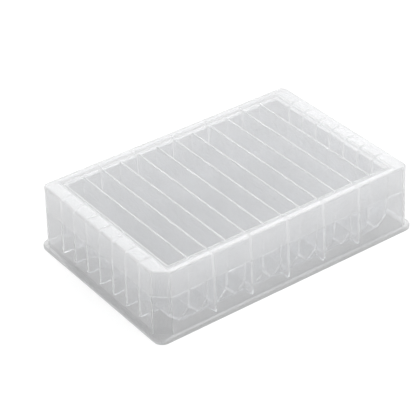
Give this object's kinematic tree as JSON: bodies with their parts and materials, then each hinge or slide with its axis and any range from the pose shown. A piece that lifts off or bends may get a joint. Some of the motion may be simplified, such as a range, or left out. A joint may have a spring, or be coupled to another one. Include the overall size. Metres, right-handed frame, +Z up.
{
  "type": "reagent reservoir",
  "caption": "Low rectangular tray on a microplate footprint, divided into parallel V-bottomed channels that hold liquid for multichannel pipettes.",
  "frame": {"origin": "centre of the footprint on the resting plane, at the flange's underside", "axes": "+X along the long side across the channels, +Y along the channels, +Z up; the cut corner is at -X -Y"},
  "size_m": [0.1278, 0.0854, 0.03],
  "materials": {
    "polypropylene": "natural translucent moulded polypropylene, smooth satin"
  },
  "bodies": {
    "root": {"reservoir": "polypropylene"}
  },
  "joints": []
}
